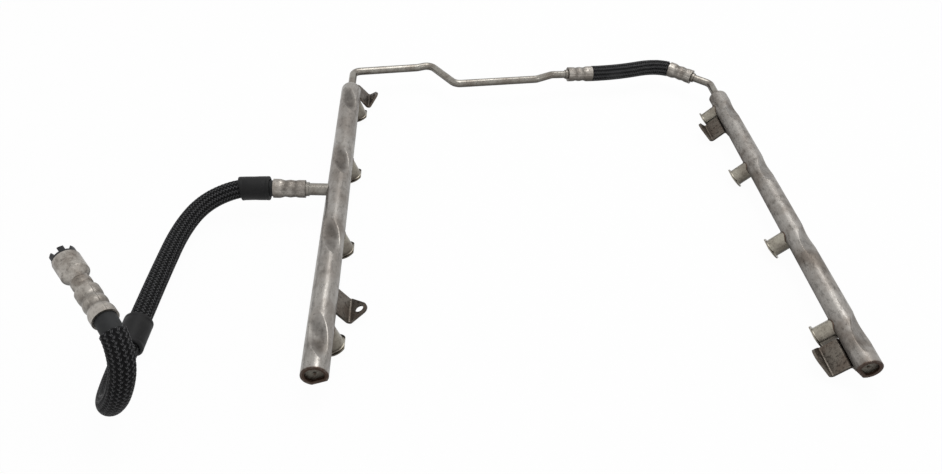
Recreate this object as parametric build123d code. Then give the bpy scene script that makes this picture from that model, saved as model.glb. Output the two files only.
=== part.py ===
"""Fuel rail pair of a V8 engine, in millimetres.

Two dimpled D-section steel rails, each with four injector cups and two stamped brackets,
are joined at the far end by a bent crossover pipe and a short flexible hose.  A longer
sleeved feed hose leaves the left rail and ends in a quick connector.

Frame: the part lies on a surface at Z = 0.  +Y runs along the rails to the crossover,
+X from the left rail to the right one, and the origin is under the middle of the rigid part.
"""

from build123d import *
from math import cos, hypot, radians, sin, tan
import os

# Rail tubes
RAIL_SPACING = 386.0
RAIL_OD = 19.0
RAIL_WALL = 1.5
FLAT_DEPTH = 7.75
FLAT_CORNER = 1.2
FUEL_HOLE = 5.0
FAR_END_ROUND = 5.0
FAR_END_WALL = 3.0
LEFT_END_MARGIN = 18.5
RIGHT_END_MARGIN = 22.5
BANK_OFFSET = 8.0
LEFT_LEAN = 68.0
RIGHT_LEAN = 48.0

# Dimples pressed into the side away from the cups
DIMPLE_RADIUS = 15.5
DIMPLE_DEPTH = 3.7
DIMPLE_SKEW = 55.0
DIMPLE_ROLL = 21.0
DIMPLE_BEFORE_CUP = 14.0
DIMPLE_EDGE = 1.2

# Injector cups
CUP_COUNT = 4
CUP_PITCH = 100.0
FIRST_CUP = 43.5
CUP_OD = 15.4
CUP_BORE = 13.5
CUP_REACH = 22.7
CUP_BASE = 1.2
LIP_OD = 19.4
LIP_WIDTH = 16.0
LIP_THICKNESS = 1.0
LIP_CURVE = 0.9

# End plugs
PLUG_DEPTH = 6.0
PLUG_RECESS = 2.5
PLUG_RIM = 1.3
PLUG_PIP_RADIUS = 1.1
PLUG_PIP_HEIGHT = 0.7

# Stamped brackets
PLATE = 2.0
BEND_RADIUS = 2.6
EAR_DROP = 25.5
EAR_REACH = 8.0
BOLT_HOLE = 6.8
FOOT_BACK = 5.0
FOOT_CLEARANCE = 0.5
LEFT_WIDTH = 23.6
LEFT_EAR_RADIUS = 6.0
LEFT_WEB_START = 3.0
LEFT_WEB_LEAN = 16.0
LEFT_NEAR_AFTER_CUP = 32.7
LEFT_FAR_AFTER_CUP = 27.0
LEFT_FAR_EAR_LIFT = 30.0
RIGHT_WIDTH = 26.0
RIGHT_EAR_RADIUS = 7.5
RIGHT_WEB_START = 2.0
RIGHT_BEFORE_CUP = 23.8

# Crimped hose ends
FERRULE_OD = 16.1
FERRULE_WAIST = 13.9
FERRULE_LENGTH = 26.5
FERRULE_SOCKET = 5.0
HOSE_OD = 13.4
HOSE_BORE = 8.0
SLEEVE_OD = 15.2
SLEEVE_GAP = 0.15
SEAT_GAP = 0.1

# Crossover
PIPE_OD = 7.7
PIPE_BORE = 5.7
PIPE_INSERT = 7.0
BEAD_OD = 10.0
BEAD_LENGTH = 3.0
PIPE_BEND = 9.0
PIPE_POINTS = [(0, 33.5), (66, 47.5), (80, 54), (106, 17), (193, 33.3)]
LEFT_CRIMP_ACROSS = 229.0
LEFT_CRIMP_OUT = 46.5
LEFT_CRIMP_AIM = 7.0
LEFT_CRIMP_RUN = 18.0
ELBOW_OUT = 26.5
ELBOW_RUN = 21.5
ELBOW_AIM = -37.6
CROSS_SLEEVE_OD = 16.4
CROSS_LOW_BEND = 26.0
CROSS_HIGH_BEND = 13.0

# Feed line
FEED_PLACE = 196.5
STUB_OD = 10.4
STUB_BORE = 7.6
STUB_BEAD_OD = 12.0
STUB_BARB_WALL = 1.2
STUB_LENGTH = 27.2
COLLAR_OD = 20.3
COLLAR_LENGTH = 24.9
COLLAR_ROUND = 1.0
COLLAR_CLEARANCE = 0.5
COLLAR_GAP = 2.7
SLEEVE_BARE_END = 7.0
FEED_POINTS = [
    (0, 0, 0),
    (-19, 0, 0),
    (-38, -1.2, -0.8),
    (-61, -15, -5.8),
    (-73.2, -43.5, -10.5),
    (-77.5, -86, -13),
    (-80.3, -131, -13.9),
    (-82.3, -173, -14.1),
    (-82, -196, -12.7),
    (-77, -213.3, -4),
    (-68.3, -225.3, 9),
    (-58.8, -229.5, 25.5),
    (-54, -224, 42.5),
    (-57.5, -214, 54.5),
    (-63.5, -205.5, 59.2),
    (-69.4, -198.1, 59.8),
]
LOWER_COLLAR_START = 189.5
TUBE_BEND_SHARE = 0.45

# Quick connector on the feed line
NECK_OD = 10.8
NECK_RING_OD = 12.4
NECK_LENGTH = 13.0
SHOULDER = 3.5
SHELL_OD = 17.2
SHELL_WALL = 1.4
SHELL_LENGTH = 19.0
SHELL_EDGE = 0.8
INLET_BORE = 9.6
SEAL_SECTION = 1.9
SEAL_COUNT = 2
SEAL_PITCH = 2.5
SEAL_PROUD = 0.1
SEAL_GAP = 0.02
RETAINER_OUT = 5.0
RETAINER_TABS = 3
RETAINER_WALL = 1.9

BOTTOM = (Align.CENTER, Align.CENTER, Align.MIN)
RAIL_RADIUS = RAIL_OD / 2
CUP_PLACES = [FIRST_CUP + CUP_PITCH * i for i in range(CUP_COUNT)]
LEFT_LENGTH = CUP_PLACES[-1] + LEFT_END_MARGIN
RIGHT_LENGTH = CUP_PLACES[-1] + RIGHT_END_MARGIN


def resting_height(lean):
    """Height of a rail's axis when the low edges of its cup lips touch the surface."""
    return CUP_REACH * sin(radians(lean)) + LIP_WIDTH / 2 * cos(radians(lean))


def rail_axis(side):
    """Near end of a rail's axis, before the whole part is moved to its origin."""
    if side == "left":
        return Vector(-RAIL_SPACING / 2, 0, resting_height(LEFT_LEAN))
    return Vector(RAIL_SPACING / 2, BANK_OFFSET, resting_height(RIGHT_LEAN))


def seat(piece, side):
    """Move a piece from the rail's own frame (+Y along it, cups down) to its place."""
    if side == "left":
        return Pos(*rail_axis(side)) * Rot(0, LEFT_LEAN - 90, 0) * piece
    return Pos(*rail_axis(side)) * Rot(0, 90 - RIGHT_LEAN, 0) * mirror(piece, about=Plane.YZ)


def across(y):
    """Plane across a rail at y, with its own Y pointing down towards the cups."""
    return Plane(origin=(0, y, 0), x_dir=(1, 0, 0), z_dir=(0, 1, 0))


def d_section(inset=0.0):
    """D-shaped outline of the tube, or of its bore when inset by the wall."""
    radius = RAIL_RADIUS - inset
    depth = FLAT_DEPTH - inset
    box = Pos(0, (depth - RAIL_RADIUS) / 2) * Rectangle(RAIL_OD, depth + RAIL_RADIUS)
    face = Circle(radius) & box
    corners = face.vertices().filter_by(lambda v: abs(v.Y - depth) < 0.01)
    return fillet(corners, FLAT_CORNER)


def d_bar(start, end, inset=0.0):
    """Solid bar of the D section between two places along the rail."""
    return extrude(across(start) * d_section(inset), end - start)


def punch(cup_place, grow=0.0):
    """Skewed cylinder that presses one dimple; grow adds the wall for the inside."""
    height = RAIL_RADIUS - DIMPLE_DEPTH + DIMPLE_RADIUS
    bar = Cylinder(DIMPLE_RADIUS + grow, 3 * RAIL_OD, rotation=(0, 90, 0))
    bar = Pos(0, cup_place - DIMPLE_BEFORE_CUP, height) * Rot(0, 0, -DIMPLE_SKEW) * bar
    return Rot(0, DIMPLE_ROLL, 0) * bar


def rail_tube(length):
    """Dimpled D-section tube, closed and rounded at its far end, open at its near end."""
    outer = d_bar(0, length)
    far_face = outer.faces().sort_by(Axis.Y)[-1]
    outer = fillet(far_face.edges(), FAR_END_ROUND)
    inner = d_bar(-1, length - FAR_END_WALL, RAIL_WALL)
    for place in CUP_PLACES:
        dimpled = outer - punch(place)
        rim = dimpled.edges().filter_by(lambda e: near_dimple(e, place))
        outer = fillet(rim, DIMPLE_EDGE)
        inner = inner - punch(place, RAIL_WALL)
    tube = outer - inner
    for place in CUP_PLACES:
        tube -= Pos(0, place, -FLAT_DEPTH) * Cylinder(FUEL_HOLE / 2, 4 * RAIL_WALL)
    return tube - end_pipe_hole(length)


def near_dimple(edge, cup_place):
    """True for the rim edges of the dimple that belongs to one cup."""
    middle = edge.center()
    reach = edge.bounding_box().size.Y
    return (
        abs(middle.Y - cup_place + DIMPLE_BEFORE_CUP) < DIMPLE_RADIUS + RAIL_RADIUS
        and middle.Z > -RAIL_RADIUS / 2
        and reach < CUP_PITCH / 2
    )


def end_pipe_hole(length):
    """Hole in the closed far end, for the pipe that is brazed into it."""
    hole = Cylinder(PIPE_OD / 2, 3 * FAR_END_WALL, rotation=(90, 0, 0))
    return Pos(0, length, 0) * hole


def injector_cup(place):
    """Drawn cup: saddle base on the tube, bore for the injector, lip with two flats."""
    body = CUP_OD / 2
    bore = CUP_BORE / 2
    base = -FLAT_DEPTH - CUP_BASE
    lip_top = LIP_THICKNESS - CUP_REACH
    profile = Plane.XZ * make_face(
        Polyline(
            (FUEL_HOLE / 2, 0),
            (body, 0),
            (body, lip_top),
            (LIP_OD / 2, lip_top),
            (LIP_OD / 2, -CUP_REACH),
            (bore, -CUP_REACH),
            (bore, base),
            (FUEL_HOLE / 2, base),
            close=True,
        )
    )
    soft = profile.vertices().filter_by(
        lambda v: is_at(v, body, lip_top) or is_at(v, bore, -CUP_REACH)
    )
    cup = revolve(fillet(soft, LIP_CURVE), Axis.Z)
    cup &= Box(LIP_WIDTH, LIP_OD, 2 * CUP_REACH)
    cup = Pos(0, place, 0) * cup
    return cup - d_bar(place - LIP_OD, place + LIP_OD)


def is_at(vertex, x, z):
    """True for the vertex of a section at x and z."""
    return hypot(vertex.X - x, vertex.Z - z) < 0.01


def end_plug():
    """Pressed plug brazed into the near end, with a shallow recess and a centre pip."""
    plug = d_bar(0, PLUG_DEPTH, RAIL_WALL)
    plug -= d_bar(0, PLUG_RECESS, RAIL_WALL + PLUG_RIM)
    pip = Cylinder(PLUG_PIP_RADIUS, PLUG_PIP_HEIGHT, rotation=(90, 0, 0))
    return plug + Pos(0, PLUG_RECESS - PLUG_PIP_HEIGHT / 2, 0) * pip


def bracket(place, width, ear_radius, web_start, web_lean, ear_lift):
    """Stamped strip: a foot on the tube's flat, a web down from it and a bolt ear."""
    foot_z = -FLAT_DEPTH - PLATE / 2
    drop = EAR_DROP + foot_z
    web_end = Vector(web_start + drop * tan(radians(web_lean)), foot_z - drop)
    ear_way = Vector(cos(radians(ear_lift)), sin(radians(ear_lift)))
    ear_length = EAR_REACH + ear_radius
    line = FilletPolyline(
        (-FOOT_BACK, foot_z),
        (web_start, foot_z),
        (web_end.X, web_end.Y),
        tuple(web_end + ear_way * ear_length)[:2],
        radius=BEND_RADIUS,
    )
    strip = extrude(Plane.XZ * trace(line, PLATE), width / 2, both=True)
    ear_plane = Plane(
        origin=(web_end.X, 0, web_end.Y),
        x_dir=(ear_way.X, 0, ear_way.Y),
        z_dir=(-ear_way.Y, 0, ear_way.X),
    )
    outline = ear_outline(width, ear_radius)
    strip &= extrude(ear_plane * outline, 2 * EAR_DROP, both=True)
    hole = Pos(EAR_REACH, 0, 0) * Cylinder(BOLT_HOLE / 2, 2 * PLATE)
    return Pos(0, place, 0) * (strip - ear_plane.location * hole)


def ear_outline(width, ear_radius):
    """Blank outline seen square to the ear: full width at the bend, round at the tip."""
    base = Pos(PLATE - EAR_DROP, 0) * Rectangle(2 * EAR_DROP, width)
    root = Line((PLATE, -width / 2), (PLATE, width / 2))
    tip = Pos(EAR_REACH, 0) * Circle(ear_radius)
    return base + make_hull(root.edges() + tip.edges())


def left_bracket(place, ear_lift):
    """Bracket of the left rail, whose web leans out past the tube."""
    return bracket(place, LEFT_WIDTH, LEFT_EAR_RADIUS, LEFT_WEB_START, LEFT_WEB_LEAN, ear_lift)


def left_far_foot():
    """Foot of the left far bracket, carried back along the flat to the last cup."""
    start = CUP_PLACES[-1] + CUP_OD / 2 + FOOT_CLEARANCE
    end = CUP_PLACES[-1] + LEFT_FAR_AFTER_CUP
    foot = Box(FOOT_BACK, end - start, PLATE, align=(Align.MAX, Align.MIN, Align.MAX))
    return Pos(0, start, -FLAT_DEPTH) * foot


def right_bracket(place):
    """Bracket of the right rail, whose web is square to the tube's flat."""
    return bracket(place, RIGHT_WIDTH, RIGHT_EAR_RADIUS, RIGHT_WEB_START, 0, 0)


def turned(points):
    """Solid of revolution about Z from (radius, height) points."""
    return revolve(Plane.XZ * make_face(Polyline(*points, close=True)), Axis.Z)


def ferrule(pipe_od):
    """Crimped sleeve: waists between rings, a rolled lip and a socket for the hose end."""
    rim = FERRULE_OD / 2
    waist = FERRULE_WAIST / 2
    ring = (rim + waist) / 2
    step = FERRULE_LENGTH / 9
    outer = Spline(
        (rim, step * 1.6),
        (waist, step * 3.2),
        (ring, step * 4.7),
        (waist, step * 6.1),
        (ring, step * 7.6),
        tangents=[(0, 1), (0, 1)],
    )
    mouth = Polyline((0, 0), (rim, 0), outer @ 0)
    top = Polyline(outer @ 1, (ring, FERRULE_LENGTH), (0, FERRULE_LENGTH), (0, 0))
    body = revolve(Plane.XZ * make_face([mouth, outer, top]), Axis.Z)
    socket = Cylinder(HOSE_OD / 2 + SEAT_GAP, FERRULE_SOCKET, align=BOTTOM)
    pipe = Cylinder(pipe_od / 2, 2 * FERRULE_LENGTH, align=BOTTOM)
    return body - socket - pipe


def aimed(point, way):
    """Frame at a point whose own Z runs along way."""
    return Plane(origin=point, z_dir=way).location


def flat_way(angle):
    """Unit direction in the horizontal plane, angle degrees from +X."""
    return Vector(cos(radians(angle)), sin(radians(angle)), 0)


def bend_radii(points):
    """Largest tangent arcs that the runs of a hose route allow, one for each corner."""
    radii = []
    for before, corner, after in zip(points, points[1:], points[2:]):
        run_in = corner - before
        run_out = after - corner
        half_turn = radians(run_in.get_angle(run_out)) / 2
        radii.append(TUBE_BEND_SHARE * min(run_in.length, run_out.length) / tan(half_turn))
    return radii


def tangent_path(points, radii):
    """Straight runs joined by tangent arcs."""
    return FilletPolyline(*points, radius=radii)


def tube_along(path, start, end, outer, inner):
    """Round tube on the stretch of a path between two lengths from its beginning."""
    stretch = path.trim(start / path.length, end / path.length)
    ring = Plane(origin=stretch @ 0, z_dir=stretch % 0) * (Circle(outer / 2) - Circle(inner / 2))
    return sweep(ring, path=stretch)


def swept_tube(path, outer, inner):
    """Round tube along a whole path, with its volume checked against section times length."""
    ring = Plane(origin=path @ 0, z_dir=path % 0) * (Circle(outer / 2) - Circle(inner / 2))
    tube = sweep(ring, path=path)
    share = tube.volume / (ring.area * path.length)
    print(f"tube {outer:.1f} mm: length {path.length:.1f}, volume against section {share:.4f}")
    return tube


def left_end():
    """Middle of the left rail's far end."""
    return rail_axis("left") + Vector(0, LEFT_LENGTH, 0)


def right_end():
    """Middle of the right rail's far end."""
    return rail_axis("right") + Vector(0, RIGHT_LENGTH, 0)


def crossover_plane_point(x, y):
    """Point of the crossover at x, y from the left rail's end, between the rail heights."""
    start = left_end()
    end = right_end()
    height = start.Z + (end.Z - start.Z) * x / RAIL_SPACING
    return Vector(start.X + x, start.Y + y, height)


def from_right(x, y):
    """Point of the crossover at x, y from the right rail's end."""
    ahead = right_end().Y - left_end().Y
    return crossover_plane_point(RAIL_SPACING + x, ahead + y)


def left_crimp():
    """Point and direction in which the crossover pipe enters its crimp."""
    return crossover_plane_point(LEFT_CRIMP_ACROSS, LEFT_CRIMP_OUT), flat_way(LEFT_CRIMP_AIM)


def right_crimp():
    """Point and direction in which the elbow pipe leaves its crimp."""
    way = flat_way(ELBOW_AIM)
    return from_right(0, ELBOW_OUT) - way * ELBOW_RUN, way


def crossover_pipe():
    """Bent steel pipe from the left rail's end to the left crimp, with an upset bead."""
    inside = left_end() - Vector(0, PIPE_INSERT, 0)
    crimp, way = left_crimp()
    bends = [crossover_plane_point(*p) for p in PIPE_POINTS] + [crimp - way * LEFT_CRIMP_RUN]
    tip = crimp + way * (FERRULE_LENGTH - FERRULE_SOCKET)
    path = tangent_path([inside, *bends, tip], [PIPE_BEND] * len(bends))
    pipe = swept_tube(path, PIPE_OD, PIPE_BORE)
    return pipe + pipe_bead(crimp, -way)


def pipe_bead(crimp, way):
    """Upset ring on a pipe where it enters its ferrule."""
    ring = Cylinder(BEAD_OD / 2, BEAD_LENGTH, align=BOTTOM)
    ring -= Cylinder(PIPE_OD / 2 - SEAT_GAP, BEAD_LENGTH, align=BOTTOM)
    return aimed(crimp, way) * ring


def crossover_elbow():
    """Short elbow pipe from the right crimp into the right rail's far end."""
    inside = right_end() - Vector(0, PIPE_INSERT, 0)
    crimp, way = right_crimp()
    tip = crimp - way * (FERRULE_LENGTH - FERRULE_SOCKET)
    path = tangent_path([tip, from_right(0, ELBOW_OUT), inside], [PIPE_BEND])
    pipe = swept_tube(path, PIPE_OD, PIPE_BORE)
    return pipe + pipe_bead(crimp, way)


def crossover_hose_route():
    """Points of the short hose, from socket floor to socket floor."""
    left, left_way = left_crimp()
    right, right_way = right_crimp()
    inside = FERRULE_LENGTH - FERRULE_SOCKET
    low_bend = left + left_way * (FERRULE_LENGTH + CROSS_LOW_BEND)
    high_bend = right - right_way * (FERRULE_LENGTH + CROSS_HIGH_BEND)
    return [left + left_way * inside, low_bend, high_bend, right - right_way * inside]


def left_rail_stub_end():
    """Outer end of the feed stub, where the hose is crimped on."""
    return rail_axis("left") + Vector(-STUB_LENGTH, FEED_PLACE, 0)


def feed_stub():
    """Straight stub pipe on the outer side of the left rail, with a bead and a barb."""
    length = STUB_LENGTH + FERRULE_LENGTH - FERRULE_SOCKET
    stub = Cylinder(STUB_OD / 2, STUB_LENGTH, align=BOTTOM)
    stub += Cylinder(STUB_BORE / 2 + STUB_BARB_WALL, length, align=BOTTOM)
    stub += Pos(0, 0, STUB_LENGTH - BEAD_LENGTH) * Cylinder(STUB_BEAD_OD / 2, BEAD_LENGTH, align=BOTTOM)
    stub -= Cylinder(STUB_BORE / 2, 3 * length)
    stub = aimed(rail_axis("left") + Vector(0, FEED_PLACE, 0), (-1, 0, 0)) * stub
    return stub - seat(d_bar(FEED_PLACE - RAIL_OD, FEED_PLACE + RAIL_OD), "left")


def feed_opening():
    """Fuel way through the left rail's wall, in line with the stub."""
    bore = Cylinder(STUB_BORE / 2, RAIL_OD, align=BOTTOM)
    return aimed(rail_axis("left") + Vector(0, FEED_PLACE, 0), (-1, 0, 0)) * bore


def feed_route():
    """Points of the feed hose, from the floor of its first socket to that of the last."""
    mouth = left_rail_stub_end() + Vector(-FERRULE_LENGTH + FERRULE_SOCKET, 0, 0)
    return [mouth + Vector(*p) for p in FEED_POINTS]


def collar(path, start):
    """Straight rubber collar round the sleeve, from a length along the hose."""
    near = path @ (start / path.length)
    far = path @ ((start + COLLAR_LENGTH) / path.length)
    ring = Cylinder(COLLAR_OD / 2, COLLAR_LENGTH, align=BOTTOM)
    ring = fillet(ring.edges().filter_by(GeomType.CIRCLE), COLLAR_ROUND)
    ring -= Cylinder(SLEEVE_OD / 2 + COLLAR_CLEARANCE, COLLAR_LENGTH, align=BOTTOM)
    return aimed(near, far - near) * ring


def connector_body():
    """Turned connector: neck with a ring, then a cupped shell that takes the inlet pipe."""
    neck = NECK_OD / 2
    ring = NECK_RING_OD / 2
    shell = SHELL_OD / 2
    shoulder = NECK_LENGTH + SHOULDER
    total = NECK_LENGTH + SHELL_LENGTH
    body = turned(
        [
            (0, 0),
            (neck, 0),
            (neck, NECK_LENGTH * 0.35),
            (ring, NECK_LENGTH * 0.45),
            (ring, NECK_LENGTH * 0.7),
            (neck, NECK_LENGTH * 0.8),
            (neck, NECK_LENGTH),
            (shell - SHELL_EDGE, shoulder),
            (shell, shoulder + SHELL_EDGE),
            (shell, total - SHELL_EDGE),
            (shell - SHELL_EDGE, total),
            (0, total),
        ]
    )
    body -= Cylinder(HOSE_BORE / 2, total, align=BOTTOM)
    body -= Pos(0, 0, shoulder) * Cylinder(INLET_BORE / 2, total, align=BOTTOM)
    cup_floor = total - retainer_depth()
    body -= Pos(0, 0, cup_floor) * Cylinder(shell - SHELL_WALL, total, align=BOTTOM)
    for height in seal_heights():
        body -= Pos(0, 0, height) * Torus(seal_radius(), SEAL_SECTION / 2)
    return body


def seal_radius():
    """Radius of a seal's centreline, pressed back by the inlet pipe to stand a little proud."""
    return (INLET_BORE + SEAL_SECTION) / 2 - SEAL_PROUD


def retainer_depth():
    """Depth of the shell's open cup, where the plastic retainer sits."""
    return SHELL_LENGTH * 0.4


def seal_heights():
    """Places of the seals along the connector."""
    first = NECK_LENGTH + SHELL_LENGTH - retainer_depth() - SEAL_SECTION * 0.8
    return [first - SEAL_PITCH * i for i in range(SEAL_COUNT)]


def connector_seals():
    """O-rings that grip the inlet pipe."""
    ring = Torus(seal_radius(), SEAL_SECTION / 2 - SEAL_GAP)
    return Compound([Pos(0, 0, height) * ring for height in seal_heights()])


def connector_retainer():
    """Plastic retainer in the shell's mouth, with raised tabs for the fingers."""
    outer = SHELL_OD / 2 - SHELL_WALL - SEAT_GAP
    floor = NECK_LENGTH + SHELL_LENGTH - retainer_depth()
    height = retainer_depth() + RETAINER_OUT
    ring = Cylinder(outer, height, align=BOTTOM)
    ring += Pos(0, 0, height - RETAINER_OUT) * Cylinder(outer + 0.9, RETAINER_OUT, align=BOTTOM)
    ring -= Cylinder(outer - RETAINER_WALL, height, align=BOTTOM)
    slot = Pos(0, 0, height - RETAINER_OUT + 1.4) * Box(SHELL_OD, SHELL_OD / 4, RETAINER_OUT, align=BOTTOM)
    for i in range(RETAINER_TABS):
        ring -= Rot(0, 0, 180 / RETAINER_TABS * i) * slot
    return Pos(0, 0, floor) * ring


def rail_side(side):
    """All pieces of one rail: tube, end plug, cups and brackets."""
    length = LEFT_LENGTH if side == "left" else RIGHT_LENGTH
    pieces = {"rail_tube": rail_tube(length), "end_plug": end_plug()}
    for i, place in enumerate(CUP_PLACES):
        pieces[f"injector_cup_{i + 1}"] = injector_cup(place)
    if side == "left":
        pieces["near_bracket"] = left_bracket(CUP_PLACES[0] + LEFT_NEAR_AFTER_CUP, 0)
        far = CUP_PLACES[-1] + LEFT_FAR_AFTER_CUP
        pieces["far_bracket"] = left_bracket(far, LEFT_FAR_EAR_LIFT) + left_far_foot()
    else:
        pieces["near_bracket"] = right_bracket(CUP_PLACES[0] - RIGHT_BEFORE_CUP)
        pieces["far_bracket"] = right_bracket(CUP_PLACES[-1] - RIGHT_BEFORE_CUP)
    return {f"{side}_{name}": seat(piece, side) for name, piece in pieces.items()}


def crossover():
    """Pipe, crimps, hose and elbow that join the rails' far ends."""
    left, left_way = left_crimp()
    right, right_way = right_crimp()
    route = crossover_hose_route()
    path = tangent_path(route, bend_radii(route))
    covered = path.length - FERRULE_SOCKET
    sleeve_bore = HOSE_OD + 2 * SLEEVE_GAP
    return {
        "crossover_pipe": crossover_pipe(),
        "crossover_left_ferrule": aimed(left + left_way * FERRULE_LENGTH, -left_way) * ferrule(PIPE_OD),
        "crossover_hose": swept_tube(path, HOSE_OD, HOSE_BORE),
        "crossover_sleeve": tube_along(path, FERRULE_SOCKET, covered, CROSS_SLEEVE_OD, sleeve_bore),
        "crossover_right_ferrule": aimed(right - right_way * FERRULE_LENGTH, right_way) * ferrule(PIPE_OD),
        "crossover_elbow": crossover_elbow(),
    }


def feed_line():
    """Stub, hose, sleeve, collars and quick connector on the left rail's outer side."""
    route = feed_route()
    radii = bend_radii(route)
    print("feed hose bend radii:", [round(r, 1) for r in radii])
    path = tangent_path(route, radii)
    end_way = path % 1
    mouth = path @ 0 + path % 0 * FERRULE_SOCKET
    end_mouth = path @ 1 - end_way * FERRULE_SOCKET
    sleeve_start = FERRULE_SOCKET + COLLAR_GAP
    sleeve_end = path.length - FERRULE_SOCKET - SLEEVE_BARE_END
    beyond_ferrule = aimed(end_mouth + end_way * FERRULE_LENGTH, end_way)
    return {
        "feed_stub": feed_stub(),
        "feed_ferrule": aimed(mouth, -(path % 0)) * ferrule(STUB_BORE + 2 * STUB_BARB_WALL),
        "feed_hose": swept_tube(path, HOSE_OD, HOSE_BORE),
        "feed_sleeve": tube_along(path, sleeve_start, sleeve_end, SLEEVE_OD, HOSE_OD + 2 * SLEEVE_GAP),
        "feed_upper_collar": collar(path, sleeve_start),
        "feed_lower_collar": collar(path, LOWER_COLLAR_START),
        "feed_end_ferrule": aimed(end_mouth, end_way) * ferrule(HOSE_BORE),
        "connector_body": beyond_ferrule * connector_body(),
        "connector_seals": beyond_ferrule * connector_seals(),
        "connector_retainer": beyond_ferrule * connector_retainer(),
    }


ON_THE_HOSE = ("feed_hose", "feed_sleeve", "feed_upper", "feed_lower", "feed_end", "connector")


def build():
    """Every piece by name, moved so that the origin is under the middle of the rigid part."""
    pieces = {**rail_side("left"), **rail_side("right"), **crossover(), **feed_line()}
    pieces["left_rail_tube"] -= feed_opening()
    rigid = [p for name, p in pieces.items() if not name.startswith(ON_THE_HOSE)]
    box = Compound(rigid).bounding_box()
    move = Pos(-(box.min.X + box.max.X) / 2, -(box.min.Y + box.max.Y) / 2, 0)
    return {name: move * piece for name, piece in pieces.items()}


os.makedirs("parts", exist_ok=True)
for name, piece in build().items():
    export_step(piece, f"parts/{name}.step")
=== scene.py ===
"""Looks of a V8 fuel rail pair: finishes for its solids, and the feed hose, braided sleeves,
rubber collars and brazing that are made here.  Laid out as an add-on and run as a script."""

from math import atan2, cos, pi, radians, sin, sqrt

import bpy
import numpy as np
from bpy.props import FloatProperty, FloatVectorProperty, IntProperty, PointerProperty
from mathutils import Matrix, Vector


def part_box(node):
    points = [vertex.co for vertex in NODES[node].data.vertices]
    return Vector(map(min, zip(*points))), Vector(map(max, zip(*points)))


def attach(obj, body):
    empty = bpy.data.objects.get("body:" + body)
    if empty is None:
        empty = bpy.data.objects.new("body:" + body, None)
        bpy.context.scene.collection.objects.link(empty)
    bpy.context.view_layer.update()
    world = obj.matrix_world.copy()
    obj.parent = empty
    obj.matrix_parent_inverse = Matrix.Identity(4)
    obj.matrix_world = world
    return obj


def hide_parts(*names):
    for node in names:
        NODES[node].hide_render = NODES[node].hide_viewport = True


bl_info = {
    "name": "Fuel rail looks",
    "version": (1, 0, 0),
    "blender": (4, 5, 0),
    "location": "3D View > Sidebar > Fuel rail",
    "description": "Finishes, hose, sleeves and stage for the fuel rail pair",
    "category": "Object",
}

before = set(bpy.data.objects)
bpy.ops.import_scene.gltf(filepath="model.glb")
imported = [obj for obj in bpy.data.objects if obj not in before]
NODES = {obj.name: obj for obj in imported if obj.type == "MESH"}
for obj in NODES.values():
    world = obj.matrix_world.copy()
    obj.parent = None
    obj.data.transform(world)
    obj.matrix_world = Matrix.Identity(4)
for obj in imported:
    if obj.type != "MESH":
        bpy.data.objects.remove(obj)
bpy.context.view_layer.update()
MM = 0.001

# Camera, from the photograph's perspective
CAMERA_PLACE = (-0.11187, -0.53097, 0.42327)
CAMERA_TURN = (48.3727, -4.0100, -3.0038)
CAMERA_LENS = 28.66
CAMERA_SHIFT = -0.001

# Rails, as in the part's source
CUP_PITCH = 100 * MM
FIRST_CUP = 43.5 * MM
CUP_COUNT = 4
CUP_RADIUS = 7.7 * MM
RAIL_RADIUS = 9.5 * MM
FLAT_DEPTH = 7.75 * MM
RAILS = {"left": (68.0, 1), "right": (48.0, -1)}

# Feed hose: the route's points in millimetres, from the floor of the first crimp's socket
SOCKET = 5.0
HOSE_LENGTH = 0.3608
FEED_POINTS = [
    (0, 0, 0),
    (-19, 0, 0),
    (-38, -1.2, -0.8),
    (-61, -15, -5.8),
    (-73.2, -43.5, -10.5),
    (-77.5, -86, -13),
    (-80.3, -131, -13.9),
    (-82.3, -173, -14.1),
    (-82, -196, -12.7),
    (-77, -213.3, -4),
    (-68.3, -225.3, 9),
    (-58.8, -229.5, 25.5),
    (-54, -224, 42.5),
    (-57.5, -214, 54.5),
    (-63.5, -205.5, 59.2),
    (-69.4, -198.1, 59.8),
]

# Crossover crimps: aim in degrees from +X, as in the part's source
LEFT_CRIMP_AIM = 7.0
RIGHT_CRIMP_AIM = -37.6
CROSS_LOW_BEND = 26 * MM
CROSS_HIGH_BEND = 13 * MM

# Radii between which a crimp's waists and a rail's dents get dirt and painted shade
CRIMP_SHADE_AND_DIRT = (7.95 * MM, 6.95 * MM)
DENT_SHADE_AND_DIRT = (9.1 * MM, 6.6 * MM)

# Depth of the bump maps, half the floor's side in metres, and radius of the braze round a cup
BUMP_DEPTH = 0.2 * MM
FLOOR_HALF = 3.0
BRAZE_RADIUS = 0.55 * MM

# Braid: height of a yarn over and under its middle, half its thickness, length of a loose end
YARN_RISE = 0.26 * MM
YARN_THICK = 0.2 * MM
LOOSE_END = 5 * MM

# Along the feed hose from the socket's floor: upper collar, sleeve, lower collar, and bare end
UPPER_COLLAR = 7.7 * MM
SLEEVE_START = 7.9 * MM
LOWER_COLLAR = 189.5 * MM
BARE_END = 8.5 * MM
CRIMP_LENGTH = 26.5 * MM


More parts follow.
